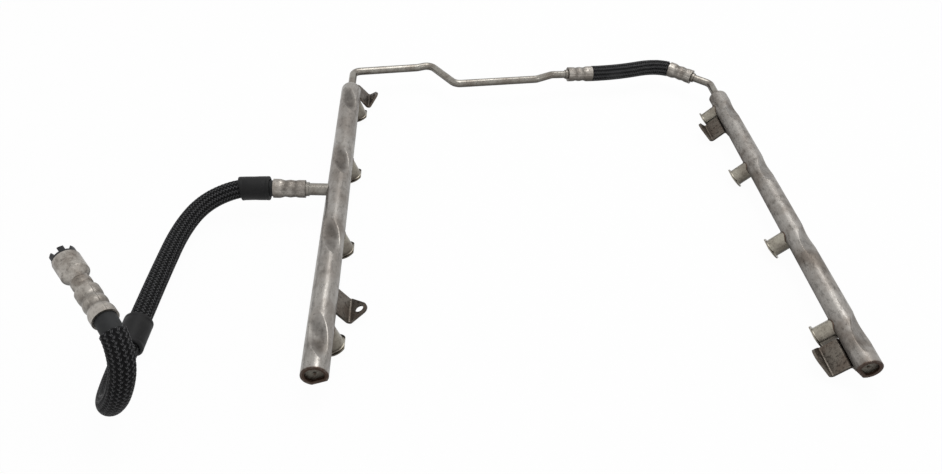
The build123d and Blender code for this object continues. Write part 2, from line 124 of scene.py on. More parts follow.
class HoseSizes(bpy.types.PropertyGroup):
    """Sizes of the hoses' covering."""

    hose_diameter: FloatProperty(
        name="Hose diameter",
        description="Outside of the rubber hose",
        default=13.4 * MM,
        subtype="DISTANCE",
    )
    feed_sleeve_radius: FloatProperty(
        name="Feed sleeve radius",
        description="Outside of the feed hose's sleeve",
        default=7.7 * MM,
        subtype="DISTANCE",
    )
    cross_sleeve_radius: FloatProperty(
        name="Crossover sleeve radius",
        description="Outside of the crossover hose's sleeve",
        default=8.2 * MM,
        subtype="DISTANCE",
    )
    carriers: IntProperty(
        name="Carriers", description="Yarns that wind each way, a multiple of four", default=24
    )
    filaments: IntProperty(
        name="Filaments", description="Filaments side by side in one yarn", default=2
    )
    crossing: FloatProperty(
        name="Crossing",
        description="Length along the hose between crossings",
        default=1.4 * MM,
        subtype="DISTANCE",
    )
    collar_radius: FloatProperty(
        name="Collar radius",
        description="Outside of the rubber collars",
        default=10.1 * MM,
        subtype="DISTANCE",
    )
    collar_length: FloatProperty(
        name="Collar length",
        description="Length of the rubber collars",
        default=24.9 * MM,
        subtype="DISTANCE",
    )


class SteelColours(bpy.types.PropertyGroup):
    """Colours of the bare and brazed steel."""

    steel: FloatVectorProperty(
        name="Rail steel", description="Bare rail tube", default=(0.335, 0.32, 0.3), subtype="COLOR"
    )
    cup: FloatVectorProperty(
        name="Cup steel", description="Drawn cups", default=(0.4, 0.375, 0.315), subtype="COLOR"
    )
    bracket: FloatVectorProperty(
        name="Bracket steel",
        description="Stamped brackets",
        default=(0.17, 0.152, 0.13),
        subtype="COLOR",
    )
    pipe: FloatVectorProperty(
        name="Pipe steel", description="Bent pipes", default=(0.29, 0.278, 0.25), subtype="COLOR"
    )
    crimp: FloatVectorProperty(
        name="Crimp steel",
        description="Crimps and connector",
        default=(0.42, 0.395, 0.36),
        subtype="COLOR",
    )
    stain: FloatVectorProperty(
        name="Stain",
        description="Thin stain over the steel",
        default=(0.14, 0.115, 0.095),
        subtype="COLOR",
    )
    # Also the colour of the painted shade in joints, dents, waists and on faces turned down.
    grime_and_shade: FloatVectorProperty(
        name="Grime And Shade",
        description="Dark dirt in joints and pits",
        default=(0.018, 0.014, 0.011),
        subtype="COLOR",
    )
    braze: FloatVectorProperty(
        name="Braze",
        description="Dark braze and heat tint",
        default=(0.075, 0.045, 0.032),
        subtype="COLOR",
    )


class StageLevels(bpy.types.PropertyGroup):
    """Light and ground."""

    world: FloatProperty(name="World", description="Strength of the plain surroundings", default=0.45)
    overhead: FloatProperty(
        name="Overhead lamp", description="Large soft lamp above", default=7.0, unit="POWER"
    )
    side: FloatProperty(
        name="Side lamp", description="Soft lamp from the right", default=1.6, unit="POWER"
    )
    floor: FloatVectorProperty(
        name="Floor", description="Colour of the floor", default=(0.9, 0.9, 0.9), subtype="COLOR"
    )


def settings():
    """The three groups of settings on the scene."""
    scene = bpy.context.scene
    return scene.rail_hose, scene.rail_steel, scene.rail_stage


# Node helpers


def put(tree, kind, inputs=None, **attributes):
    """Add a node; an input that is given a socket is linked to it."""
    node = tree.nodes.new(kind)
    for key, value in attributes.items():
        setattr(node, key, value)
    for key, value in (inputs or {}).items():
        if isinstance(value, bpy.types.NodeSocket):
            tree.links.new(value, node.inputs[key])
        else:
            node.inputs[key].default_value = value
    return node


def math(tree, operation, first, second=0.0):
    """Output of a Math node on two values or sockets."""
    return put(tree, "ShaderNodeMath", {0: first, 1: second}, operation=operation).outputs[0]


def blend(tree, mask, below, above):
    """Colour that goes from below to above as the mask goes from 0 to 1."""
    node = put(tree, "ShaderNodeMix", data_type="RGBA")
    for index, value in ((0, mask), (6, below), (7, above)):
        if isinstance(value, bpy.types.NodeSocket):
            tree.links.new(value, node.inputs[index])
        else:
            node.inputs[index].default_value = value
    return node.outputs[2]


def ramp(tree, value, low, high):
    """Smooth step from 0 at low to 1 at high."""
    node = put(tree, "ShaderNodeMapRange", {"Value": value, "From Min": low, "From Max": high})
    node.interpolation_type = "SMOOTHSTEP"
    return node.outputs["Result"]


def noise(tree, vector, scale, detail=3.0, rough=0.55):
    """Value of a noise texture."""
    inputs = {"Vector": vector, "Scale": scale, "Detail": detail, "Roughness": rough}
    return put(tree, "ShaderNodeTexNoise", inputs).outputs[0]


def new_group(name, inputs, outputs):
    """Empty shader node group with named sockets, and its two end nodes."""
    tree = bpy.data.node_groups.new(name, "ShaderNodeTree")
    kinds = {"value": "NodeSocketFloat", "colour": "NodeSocketColor", "vector": "NodeSocketVector"}
    for label, kind, default in inputs:
        socket = tree.interface.new_socket(label, in_out="INPUT", socket_type=kinds[kind])
        socket.default_value = default
    for label, kind in outputs:
        tree.interface.new_socket(label, in_out="OUTPUT", socket_type=kinds[kind])
    return tree, tree.nodes.new("NodeGroupInput").outputs, tree.nodes.new("NodeGroupOutput").inputs


def rgba(colour):
    """Colour with full opacity."""
    return (*colour, 1.0)


def stained_steel_group():
    """Steel with thin stains, dark pits, a tint where it was heated, and painted shade mixed with grime
    where the material's mask says.
    """
    name = "stained_steel"
    if name in bpy.data.node_groups:
        return bpy.data.node_groups[name]
    tree, given, out = new_group(
        name,
        [
            ("Steel", "colour", (0.5, 0.5, 0.5, 1)),
            ("Stain", "colour", (0.2, 0.2, 0.2, 1)),
            ("Grime And Shade", "colour", (0.03, 0.03, 0.03, 1)),
            ("Tint", "colour", (0.2, 0.1, 0.05, 1)),
            ("Stain Amount", "value", 0.5),
            ("Pitting", "value", 0.5),
            ("Shade And Dirt", "value", 0.0),
            ("Heated", "value", 0.0),
            ("Patch Scale", "value", 60.0),
            ("Grain Scale", "value", 900.0),
            ("Stretch", "vector", (1, 1, 1)),
            ("Roughness", "value", 0.4),
        ],
        [("Color", "colour"), ("Roughness", "value"), ("Height", "value")],
    )
    place = put(tree, "ShaderNodeTexCoord").outputs["Object"]
    stretched = {0: place, 1: given["Stretch"]}
    drawn = put(tree, "ShaderNodeVectorMath", stretched, operation="MULTIPLY").outputs[0]
    broad = noise(tree, place, given["Patch Scale"], 3)
    patch = noise(tree, drawn, math(tree, "MULTIPLY", given["Patch Scale"], 6.5), 6, 0.75)
    grain = noise(tree, drawn, given["Grain Scale"], 4, 0.6)
    specks = noise(tree, place, math(tree, "MULTIPLY", given["Patch Scale"], 14), 2)
    thin = math(tree, "MULTIPLY", ramp(tree, broad, 0.38, 0.68), given["Stain Amount"])
    dark = math(tree, "MULTIPLY", ramp(tree, patch, 0.47, 0.68), given["Stain Amount"])
    pits = math(tree, "MULTIPLY", ramp(tree, specks, 0.66, 0.74), given["Pitting"])
    shade = ramp(tree, grain, 0.2, 0.8)
    colour = blend(tree, math(tree, "MULTIPLY", shade, 0.25), given["Steel"], given["Stain"])
    colour = blend(tree, thin, colour, given["Stain"])
    colour = blend(tree, math(tree, "MULTIPLY", dark, 0.7), colour, given["Grime And Shade"])
    colour = blend(tree, pits, colour, given["Grime And Shade"])
    colour = blend(tree, given["Heated"], colour, given["Tint"])
    # Painted shade, with some grime, from the material's mask: joints, hollows, waists and faces turned
    # down.
    colour = blend(tree, given["Shade And Dirt"], colour, given["Grime And Shade"])
    rough = math(tree, "MULTIPLY_ADD", shade, 0.16)
    rough.node.inputs[2].default_value = -0.08
    rough = math(tree, "ADD", rough, given["Roughness"])
    rough = math(tree, "ADD", rough, math(tree, "MULTIPLY", thin, 0.12))
    rough = math(tree, "ADD", rough, math(tree, "MULTIPLY", given["Shade And Dirt"], 0.25))
    height = math(tree, "ADD", math(tree, "MULTIPLY", grain, 0.5), math(tree, "MULTIPLY", patch, 0.5))
    height = math(tree, "SUBTRACT", height, math(tree, "MULTIPLY", pits, 0.6))
    tree.links.new(colour, out["Color"])
    tree.links.new(rough, out["Roughness"])
    tree.links.new(height, out["Height"])
    return tree


def dusty_black_group():
    """Black rubber, plastic or yarn with pale dust and a fine mottle."""
    name = "dusty_black"
    if name in bpy.data.node_groups:
        return bpy.data.node_groups[name]
    tree, given, out = new_group(
        name,
        [
            ("Black", "colour", (0.02, 0.02, 0.02, 1)),
            ("Dust", "colour", (0.15, 0.15, 0.14, 1)),
            ("Dust Amount", "value", 0.3),
            ("Mottle Scale", "value", 250.0),
            ("Roughness", "value", 0.5),
        ],
        [("Color", "colour"), ("Roughness", "value"), ("Height", "value")],
    )
    place = put(tree, "ShaderNodeTexCoord").outputs["Object"]
    broad = noise(tree, place, math(tree, "MULTIPLY", given["Mottle Scale"], 0.25), 3)
    mottle = noise(tree, place, given["Mottle Scale"], 6, 0.7)
    grain = noise(tree, place, math(tree, "MULTIPLY", given["Mottle Scale"], 8), 3)
    mask = math(tree, "MULTIPLY", ramp(tree, broad, 0.35, 0.7), ramp(tree, mottle, 0.4, 0.75))
    mask = math(tree, "MULTIPLY", mask, given["Dust Amount"])
    tree.links.new(blend(tree, mask, given["Black"], given["Dust"]), out["Color"])
    rough = math(tree, "ADD", given["Roughness"], math(tree, "MULTIPLY", mask, 0.4))
    rough = math(tree, "ADD", rough, math(tree, "MULTIPLY", mottle, 0.1))
    tree.links.new(rough, out["Roughness"])
    tree.links.new(math(tree, "ADD", mottle, math(tree, "MULTIPLY", grain, 0.5)), out["Height"])
    return tree


def near_end_group():
    """Mask that fades from 1 at a plane across the rails to 0 some way along them."""
    name = "near_end"
    if name in bpy.data.node_groups:
        return bpy.data.node_groups[name]
    tree, given, out = new_group(
        name, [("Start", "value", 0.0), ("Fade", "value", 0.002)], [("Mask", "value")]
    )
    place = put(tree, "ShaderNodeTexCoord").outputs["Object"]
    along = put(tree, "ShaderNodeSeparateXYZ", {0: place}).outputs["Y"]
    wander = math(tree, "MULTIPLY", noise(tree, place, 350.0, 4), 0.0022)
    depth = math(tree, "SUBTRACT", along, math(tree, "ADD", given["Start"], wander))
    share = math(tree, "DIVIDE", depth, given["Fade"])
    tree.links.new(math(tree, "SUBTRACT", 1.0, ramp(tree, share, 0.0, 1.0)), out["Mask"])
    return tree


def jaw_marks_group():
    """Height of a crimping die's marks round an axis, and a mask of what lies nearer to it."""
    name = "jaw_marks"
    if name in bpy.data.node_groups:
        return bpy.data.node_groups[name]
    tree, given, out = new_group(
        name,
        [
            ("Centre", "vector", (0, 0, 0)),
            ("Side", "vector", (1, 0, 0)),
            ("Up", "vector", (0, 0, 1)),
            ("Jaws", "value", 8),
            ("Rim", "value", CRIMP_SHADE_AND_DIRT[0]),
            ("Floor", "value", CRIMP_SHADE_AND_DIRT[1]),
        ],
        [("Height", "value"), ("Waist", "value")],
    )
    place = put(tree, "ShaderNodeTexCoord").outputs["Object"]
    centred = {0: place, 1: given["Centre"]}
    away = put(tree, "ShaderNodeVectorMath", centred, operation="SUBTRACT").outputs[0]
    parts = []
    for axis in ("Up", "Side"):
        along = {0: away, 1: given[axis]}
        dot = put(tree, "ShaderNodeVectorMath", along, operation="DOT_PRODUCT")
        parts.append(dot.outputs["Value"])
    angle = math(tree, "ARCTAN2", *parts)
    wave = math(tree, "COSINE", math(tree, "MULTIPLY", angle, given["Jaws"]))
    tree.links.new(ramp(tree, wave, -1.0, -0.6), out["Height"])
    squares = [math(tree, "MULTIPLY", part, part) for part in parts]
    radius = math(tree, "SQRT", math(tree, "ADD", *squares))
    tree.links.new(ramp(tree, radius, given["Rim"], given["Floor"]), out["Waist"])
    return tree


# Materials


def new_material(name):
    """Material with nodes, and its tree and Principled shader."""
    made = bpy.data.materials.new(name)
    made.use_nodes = True
    return made, made.node_tree, made.node_tree.nodes["Principled BSDF"]


def steel_material(name, colour, **look):
    """Steel finish.

    look may hold the group's values, reach and open for painted shade in joints from ambient
    occlusion, shade and the underside amount for painted shade on faces turned down, the dent amount
    for painted shade in hollows broken up by noise, heated=(start, fade) for a tint at the near end,
    and marks=(centre, side, up, jaws, rim, floor) with an amount and blotch for dirt and painted
    shade on what lies nearer an axis.
    """
    steel = settings()[1]
    made, tree, shader = new_material(name)
    # Painted shade: ambient occlusion darkens joints and recesses towards the grime colour.
    hidden = put(tree, "ShaderNodeAmbientOcclusion", {"Distance": look.get("reach", 0.005)}, samples=8)
    shade_and_dirt_mask = ramp(tree, hidden.outputs["AO"], look.get("open", 0.75), 0.2)
    # Painted shade: faces that turn down are darkened.
    normal = put(tree, "ShaderNodeNewGeometry").outputs["Normal"]
    facing = put(tree, "ShaderNodeSeparateXYZ", {0: normal})
    turned_down = ramp(tree, facing.outputs["Z"], look.get("shade", 0.5), -0.5)
    under = math(tree, "MULTIPLY", turned_down, look.get("under", 0.75))
    shade_and_dirt_mask = math(tree, "MAXIMUM", shade_and_dirt_mask, under)
    if "dents" in look:
        # Painted shade in hollows from a wider ambient occlusion, broken up by noise, with a little
        # dirt.
        dent = put(tree, "ShaderNodeAmbientOcclusion", {"Distance": 0.02}, samples=8).outputs["AO"]
        blotch = noise(tree, put(tree, "ShaderNodeTexCoord").outputs["Object"], 260.0, 6, 0.7)
        dirt = math(tree, "MULTIPLY", ramp(tree, dent, 0.995, 0.87), ramp(tree, blotch, 0.25, 0.7))
        shade_and_dirt_mask = math(tree, "MAXIMUM", shade_and_dirt_mask, math(tree, "MULTIPLY", dirt, look["dents"]))
    group = put(tree, "ShaderNodeGroup", node_tree=stained_steel_group())
    values = {
        "Steel": rgba(colour),
        "Stain": rgba(steel.stain),
        "Grime And Shade": rgba(steel.grime_and_shade),
        "Tint": rgba(steel.braze),
        "Stain Amount": look.get("stain", 0.5),
        "Pitting": look.get("pits", 0.4),
        "Patch Scale": look.get("patch", 60.0),
        "Grain Scale": look.get("grain", 900.0),
        "Stretch": look.get("stretch", (1, 1, 1)),
        "Roughness": look.get("rough", 0.38),
    }
    for key, value in values.items():
        group.inputs[key].default_value = value
    if "heated" in look:
        start, fade = look["heated"]
        heat = put(tree, "ShaderNodeGroup", node_tree=near_end_group())
        heat.inputs["Start"].default_value = start
        heat.inputs["Fade"].default_value = fade
        tree.links.new(heat.outputs["Mask"], group.inputs["Heated"])
    height = group.outputs["Height"]
    if "marks" in look:
        jaws = put(tree, "ShaderNodeGroup", node_tree=jaw_marks_group())
        for key, value in zip(("Centre", "Side", "Up", "Jaws", "Rim", "Floor"), look["marks"]):
            jaws.inputs[key].default_value = value
        height = math(tree, "ADD", height, math(tree, "MULTIPLY", jaws.outputs["Height"], 2.5))
        # Dirt and painted shade on what lies nearer the axis than the rim: the crimps' waists and the
        # rails' dents.
        place = put(tree, "ShaderNodeTexCoord").outputs["Object"]
        blotch = noise(tree, place, look.get("blotch", 420.0), 4, 0.6)
        dirt = math(tree, "MULTIPLY", jaws.outputs["Waist"], ramp(tree, blotch, 0.0, 0.6))
        dirt = math(tree, "MULTIPLY", dirt, look.get("dirt", 0.5))
        shade_and_dirt_mask = math(tree, "MAXIMUM", shade_and_dirt_mask, dirt)
    # This mask paints shade, with some dirt, in the grime colour.
    tree.links.new(shade_and_dirt_mask, group.inputs["Shade And Dirt"])
    relief = {"Height": height, "Strength": look.get("bump", 0.35), "Distance": BUMP_DEPTH}
    bump = put(tree, "ShaderNodeBump", relief)
    shader.inputs["Metallic"].default_value = 1.0
    tree.links.new(group.outputs["Color"], shader.inputs["Base Color"])
    tree.links.new(group.outputs["Roughness"], shader.inputs["Roughness"])
    tree.links.new(bump.outputs["Normal"], shader.inputs["Normal"])
    return made


def black_material(name, black, dust, amount, scale, rough, bump, gloss=0.2):
    """Rubber, plastic or yarn finish."""
    made, tree, shader = new_material(name)
    group = put(tree, "ShaderNodeGroup", node_tree=dusty_black_group())
    values = {
        "Black": rgba(black),
        "Dust": rgba(dust),
        "Dust Amount": amount,
        "Mottle Scale": scale,
        "Roughness": rough,
    }
    for key, value in values.items():
        group.inputs[key].default_value = value
    raised = {"Height": group.outputs["Height"], "Strength": bump, "Distance": BUMP_DEPTH}
    relief = put(tree, "ShaderNodeBump", raised)
    tree.links.new(group.outputs["Color"], shader.inputs["Base Color"])
    tree.links.new(group.outputs["Roughness"], shader.inputs["Roughness"])
    tree.links.new(relief.outputs["Normal"], shader.inputs["Normal"])
    shader.inputs["Specular IOR Level"].default_value = gloss
    return made


def dress(node, made):
    """Give a solid from the part its finish."""
    slots = NODES[node].data.materials
    slots.clear()
    slots.append(made)


def box_centre(node):
    """Middle of a node's box."""
    low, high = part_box(node)
    return (low + high) / 2


# Lines, tubes and braids


def spline_curve(name, points):
    """Curve object whose line is smooth, with the route's points as its control points."""
    data = bpy.data.curves.new(name, "CURVE")
    data.dimensions = "3D"
    spline = data.splines.new("NURBS")
    spline.points.add(len(points) - 1)
    for slot, point in zip(spline.points, points):
        slot.co = (*point, 1.0)
    spline.order_u = 3
    spline.use_endpoint_u = True
    spline.resolution_u = 24
    made = bpy.data.objects.new(name, data)
    bpy.context.scene.collection.objects.link(made)
    return made


def line_of(points):
    """Points of the smooth line, and their distances along it."""
    curve = spline_curve("line", points)
    mesh = bpy.data.meshes.new_from_object(curve)
    line = np.array([v.co for v in mesh.vertices])
    data = curve.data
    bpy.data.objects.remove(curve)
    bpy.data.curves.remove(data)
    bpy.data.meshes.remove(mesh)
    steps = np.linalg.norm(np.diff(line, axis=0), axis=1)
    return line, np.concatenate([[0.0], np.cumsum(steps)])


def rings_along(line, reach, places):
    """Centres, directions and two steady cross directions at places along a line."""
    centres = np.stack([np.interp(places, reach, line[:, i]) for i in range(3)], 1)
    ways = np.gradient(centres, axis=0)
    ways /= np.linalg.norm(ways, axis=1)[:, None]
    side = np.cross(ways[0], (0, 0, 1.0))
    sides = []
    for way in ways:
        side = side - way * (side @ way)
        side /= np.linalg.norm(side)
        sides.append(side)
    sides = np.array(sides)
    return centres, ways, sides, np.cross(ways, sides)


def mesh_piece(name, points, faces, made):
    """Object on the root body, with one material."""
    mesh = bpy.data.meshes.new(name)
    mesh.from_pydata([tuple(p) for p in points], [], faces)
    mesh.update()
    mesh.shade_smooth()
    mesh.materials.append(made)
    piece = bpy.data.objects.new(name, mesh)
    bpy.context.scene.collection.objects.link(piece)
    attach(piece, "root")
    return piece


def tube_faces(rings, sides, closed_line, first=0):
    """Quads between rings of points."""
    faces = []
    last = rings if closed_line else rings - 1
    for ring in range(last):
        for side in range(sides):
            a = first + ring * sides + side
            b = first + ring * sides + (side + 1) % sides
            c = first + ((ring + 1) % rings) * sides + (side + 1) % sides
            d = first + ((ring + 1) % rings) * sides + side
            faces.append((a, b, c, d))
    return faces


def lathe_along(name, line, reach, profile, made, sides=56, lump=0.0, seed=0):
    """Closed skin round a line from (place, radius) pairs that run out and back."""
    places = np.array([p for p, _ in profile])
    order = np.linspace(places.min(), places.max(), 60)
    centres, _, across, up = rings_along(line, reach, order)
    pick = []
    for grid in (centres, across, up):
        pick.append(np.stack([np.interp(places, order, grid[:, i]) for i in range(3)], 1))
    rng = np.random.default_rng(seed)
    phases = rng.uniform(0, 2 * pi, 4)
    turns = np.linspace(0, 2 * pi, sides, endpoint=False)
    points = []
    for k, (place, radius) in enumerate(profile):
        sway = sum(np.sin((i + 2) * turns + phases[i] + place * 180 * (i - 1.5)) for i in range(4))
        reach_out = radius + lump * sway
        ring = pick[0][k] + reach_out[:, None] * (
            np.cos(turns)[:, None] * pick[1][k] + np.sin(turns)[:, None] * pick[2][k]
        )
        points.extend(ring)
    return mesh_piece(name, points, tube_faces(len(profile), sides, True), made)


def braid(name, line, reach, start, end, radius, made, flare=0.0):
    """Two over, two under braid of flat yarns, each of a few filaments, wound both ways."""
    hose = settings()[0]
    count = hose.carriers
    step = hose.crossing
    samples = int((end - start) / step)
    places = start + step * np.arange(samples + 1)
    centres, ways, across, up = rings_along(line, reach, places)
    middle = radius - YARN_RISE - YARN_THICK
    share = 0.84 / hose.filaments
    wide = 0.88 * share * 2 * pi * middle / count
    lean = atan2(2 * pi * middle, 2 * count * step)
    rng = np.random.default_rng(7)
    near_end = np.clip(1 - (end - places) / LOOSE_END, 0, 1) ** 2
    points, faces, glint_crowns = [], [], []
    index = np.arange(samples + 1)
    for way in (1, -1):
        for yarn in range(count):
            on_top = (2 * yarn + way * index) % 4 < 2
            if way < 0:
                on_top = ~on_top
            lift = np.where(on_top, YARN_RISE, -YARN_RISE) + flare * near_end * rng.uniform(0.4, 1.3)
            for filament in range(hose.filaments):
                shift = (filament - (hose.filaments - 1) / 2) * share
                turn = 2 * pi / count * (yarn + shift + way * index / 2)
                out = np.cos(turn)[:, None] * across + np.sin(turn)[:, None] * up
                around = -np.sin(turn)[:, None] * across + np.cos(turn)[:, None] * up
                flat = cos(lean) * around - way * sin(lean) * ways
                core = centres + (middle + lift)[:, None] * out
                first = len(points)
                side, top = flat * wide / 2, out * YARN_THICK
                section = np.stack([core + side, core + top, core - side, core - top], 1)
                points.extend(section.reshape(-1, 3))
                # The crowns of the crossings carry a painted glint.
                risen = on_top & ~np.roll(on_top, 1)
                glint_crowns.append(np.outer(risen, (0.2, 1.0, 0.2, 0.0)).ravel())
                faces.extend(tube_faces(samples + 1, 4, False, first))
                last = first + samples * 4
                faces.append((first + 3, first + 2, first + 1, first))
                faces.append((last, last + 1, last + 2, last + 3))
    sleeve = mesh_piece(name, points, faces, made)
    glint_crown = sleeve.data.attributes.new("glint_crown", "FLOAT", "POINT")
    glint_crown.data.foreach_set("value", np.concatenate(glint_crowns))
    return sleeve


# Places on the rails


def rail_axis(side):
    """Near end of a rail's axis from its box, and the way its cups point."""
    low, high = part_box(f"{side}_rail_tube")
    lean, inward = RAILS[side]
    down = Vector((inward * cos(radians(lean)), 0, -sin(radians(lean))))
    outer_x = low.x + RAIL_RADIUS if inward > 0 else high.x - RAIL_RADIUS
    return Vector((outer_x, low.y, high.z - RAIL_RADIUS)), down


def cup_seam(side, index, count=72):
    """Closed line where a cup's wall meets its rail."""
    axis, down = rail_axis(side)
    along = Vector((0, 1, 0))
    across = down.cross(along)
    line = []
    for k in range(count):
        angle = 2 * pi * k / count
        x = CUP_RADIUS * cos(angle)
        y = CUP_RADIUS * sin(angle)
        depth = min(FLAT_DEPTH, sqrt(RAIL_RADIUS**2 - x**2))
        place = FIRST_CUP + CUP_PITCH * index + y
        line.append(axis + across * x + along * place + down * depth)
    return line


def bead(line, radius, sides=8, seed=0):
    """Points and faces of an uneven bead along a closed line."""
    line = np.array(line)
    count = len(line)
    ways = np.roll(line, -1, axis=0) - np.roll(line, 1, axis=0)
    ways /= np.linalg.norm(ways, axis=1)[:, None]
    middle = line.mean(0)
    outs = line - middle
    outs -= ways * (outs * ways).sum(1)[:, None]
    outs /= np.linalg.norm(outs, axis=1)[:, None]
    ups = np.cross(ways, outs)
    rng = np.random.default_rng(seed)
    phases = rng.uniform(0, 2 * pi, 3)
    turn = np.linspace(0, 2 * pi, count, endpoint=False)
    size = radius * (1 + 0.12 * sum(np.sin((3 + 4 * i) * turn + phases[i]) for i in range(3)))
    points = []
    for k in range(count):
        for side in range(sides):
            angle = 2 * pi * side / sides
            points.append(line[k] + size[k] * (cos(angle) * outs[k] + sin(angle) * ups[k]))
    return points, tube_faces(count, sides, True)


# Operators


class RAIL_OT_camera(bpy.types.Operator):
    """Place the camera where the photograph was taken from"""

    bl_idname = "rail.camera"
    bl_label = "Camera"

    def execute(self, context):
        data = bpy.data.cameras.new("camera")
        data.sensor_fit = "HORIZONTAL"
        data.sensor_width = 36
        data.lens = CAMERA_LENS
        data.clip_start = 0.01
        data.shift_x = CAMERA_SHIFT
        camera = bpy.data.objects.new("camera", data)
        camera.location = CAMERA_PLACE
        camera.rotation_euler = [radians(a) for a in CAMERA_TURN]
        context.scene.collection.objects.link(camera)
        context.scene.camera = camera
        return {"FINISHED"}


def feed_route():
    """Route of the feed hose in metres."""
    low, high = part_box("feed_ferrule")
    start = Vector((low.x + SOCKET * MM, (low.y + high.y) / 2, (low.z + high.z) / 2))
    return [start + Vector(p) * MM for p in FEED_POINTS]


def level_way(degrees):
    """Level direction at an angle from +X."""
    return Vector((cos(radians(degrees)), sin(radians(degrees)), 0))


def cross_route():
    """Route of the crossover hose between its crimps' mouths, in metres."""
    left = box_centre("crossover_left_ferrule")
    right = box_centre("crossover_right_ferrule")
    left_way = level_way(LEFT_CRIMP_AIM)
    right_way = level_way(RIGHT_CRIMP_AIM)
    half = CRIMP_LENGTH / 2
    inside = half - SOCKET * MM
    return [
        left + left_way * inside,
        left + left_way * (half + CROSS_LOW_BEND),
        right - right_way * (half + CROSS_HIGH_BEND),
        right - right_way * inside,
    ]


class RAIL_OT_feed_hose(bpy.types.Operator):
    """Make the feed hose with its sleeve and collars"""

    bl_idname = "rail.feed_hose"
    bl_label = "Feed hose"

    def execute(self, context):
        sizes = settings()[0]
        route = feed_route()
        hose = spline_curve("hose", route)
        hose.data.bevel_depth = sizes.hose_diameter / 2
        hose.data.bevel_resolution = 8
        hose.data.use_fill_caps = True
        hose.data.materials.append(hose_rubber())
        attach(hose, "root")
        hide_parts("feed_hose")
        line, reach = line_of(route)
        total = reach[-1]
        yarn = yarn_finish()
        sleeve_end = total - SOCKET * MM - BARE_END
        radius = sizes.feed_sleeve_radius
        sleeve = braid("sleeve", line, reach, SLEEVE_START, sleeve_end, radius, yarn, 0.2 * MM)
        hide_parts("feed_sleeve")
        lower = LOWER_COLLAR * total / HOSE_LENGTH
        for name, start, seed in (("upper_collar", UPPER_COLLAR, 3), ("lower_collar", lower, 5)):
            shape = collar_profile(start)
            collar = lathe_along(
                name, line, reach, shape, collar_rubber(), lump=0.05 * MM, seed=seed
            )
            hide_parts(f"feed_{name}")
        return {"FINISHED"}


def collar_profile(start):
    """Rubber collar in section: rounded rims, a shallow groove by each and a softer middle."""
    sizes = settings()[0]
    outer = sizes.collar_radius
    inner = sizes.feed_sleeve_radius + 0.1 * MM
    length = sizes.collar_length
    shape = [
        (0.0, inner),
        (0.0, outer - 1.1 * MM),
        (0.25 * MM, outer - 0.45 * MM),
        (0.8 * MM, outer - 0.05 * MM),
        (1.8 * MM, outer),
        (2.6 * MM, outer - 0.02 * MM),
        (3.1 * MM, outer - 0.25 * MM),
        (3.6 * MM, outer - 0.1 * MM),
        (length * 0.35, outer - 0.12 * MM),
        (length * 0.5, outer - 0.2 * MM),
        (length * 0.65, outer - 0.12 * MM),
        (length - 3.6 * MM, outer - 0.1 * MM),
        (length - 3.1 * MM, outer - 0.25 * MM),
        (length - 2.6 * MM, outer - 0.02 * MM),
        (length - 1.8 * MM, outer),
        (length - 0.8 * MM, outer - 0.05 * MM),
        (length - 0.25 * MM, outer - 0.45 * MM),
        (length, outer - 1.1 * MM),
        (length, inner),
    ]
    return [(start + place, radius) for place, radius in shape]


class RAIL_OT_cross_sleeve(bpy.types.Operator):
    """Make the braided sleeve of the crossover hose"""

    bl_idname = "rail.cross_sleeve"
    bl_label = "Crossover sleeve"

    def execute(self, context):
        sizes = settings()[0]
        line, reach = line_of(cross_route())
        dress("crossover_hose", hose_rubber())
        sleeve = braid(
            "cross_sleeve",
            line,
            reach,
            (SOCKET + 0.2) * MM,
            reach[-1] - (SOCKET + 0.2) * MM,
            sizes.cross_sleeve_radius,
            yarn_finish(),
        )
        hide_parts("crossover_sleeve")
        return {"FINISHED"}


def once(name, maker):
    """Material of this name, made the first time."""
    return bpy.data.materials.get(name) or maker()


def filament_material():
    """Black filament with painted glints: its base colour is paler on the crowns of its crossings."""
    black, dust = (0.003, 0.003, 0.0035), (0.012, 0.012, 0.012)
    made = black_material("filament", black, dust, 0.5, 160, 0.4, 0.1, 0.15)
    tree = made.node_tree
    shader = tree.nodes["Principled BSDF"]
    plain = shader.inputs["Base Color"].links[0].from_socket
    # Painted glint: the base colour turns paler on the crowns.
    glint_crown = put(tree, "ShaderNodeAttribute", attribute_name="glint_crown").outputs["Fac"]
    pale = blend(tree, ramp(tree, glint_crown, 0.3, 0.9), plain, (0.16, 0.16, 0.165, 1))
    tree.links.new(pale, shader.inputs["Base Color"])
    return made


def hose_rubber():
    """Charcoal rubber of the bare hose."""
    look = ((0.024, 0.025, 0.026), (0.07, 0.07, 0.068), 0.4, 320, 0.55, 0.3)
    return once("bare_hose", lambda: black_material("bare_hose", *look))


def yarn_finish():
    """Black filament of both sleeves."""
    return once("filament", filament_material)


def collar_rubber():
    """Matte black rubber with dust."""
    look = ((0.009, 0.009, 0.0095), (0.04, 0.039, 0.037), 0.6, 180, 0.5, 0.35)
    return once("collar", lambda: black_material("collar", *look))


